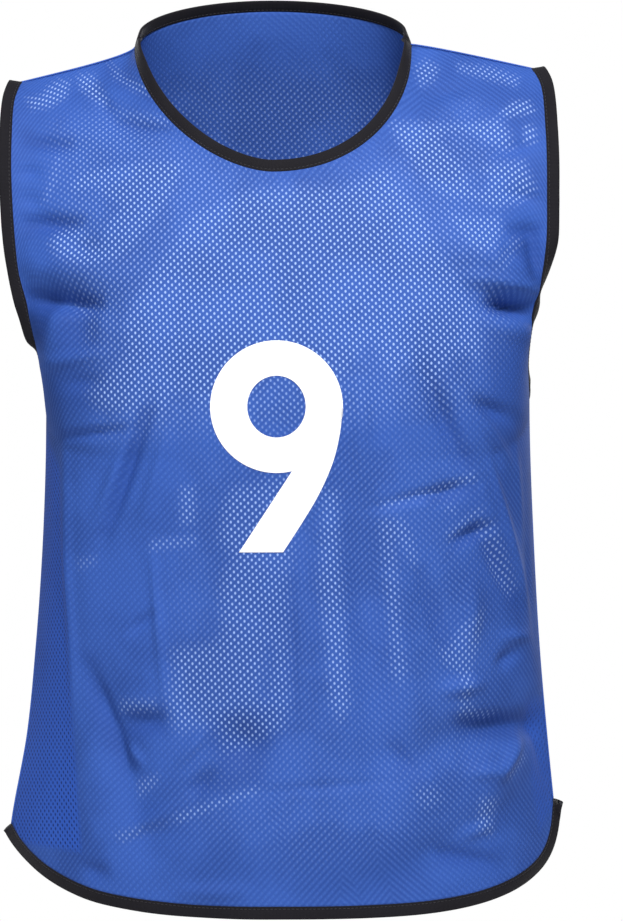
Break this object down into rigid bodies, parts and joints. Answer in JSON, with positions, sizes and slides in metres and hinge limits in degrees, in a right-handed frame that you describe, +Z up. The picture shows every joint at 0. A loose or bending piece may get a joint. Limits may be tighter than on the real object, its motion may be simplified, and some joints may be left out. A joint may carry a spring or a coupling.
{
  "type": "mesh training bib",
  "caption": "Sleeveless mesh training bib in its worn shape, hollow, with bound neck, armholes and curved hems and a plain number on the chest.",
  "frame": {"origin": "midway between the two points where the shoulder seams meet the neck edge, which is where the bib hangs from the wearer", "axes": "+Z up, front of the bib faces -Y, +X to the right of someone who looks at its front"},
  "size_m": [0.4482, 0.2467, 0.729],
  "materials": {
    "blue_mesh": "knitted polyester mesh, soft sheen",
    "black_tape": "matt ribbed binding tape",
    "number_print": "smooth white print"
  },
  "bodies": {
    "root": {"front_panel": "blue_mesh", "back_panel": "blue_mesh", "neck_tape": "black_tape", "left_armhole_tape": "black_tape", "right_armhole_tape": "black_tape", "front_hem_tape": "black_tape", "back_hem_tape": "black_tape"}
  },
  "joints": []
}
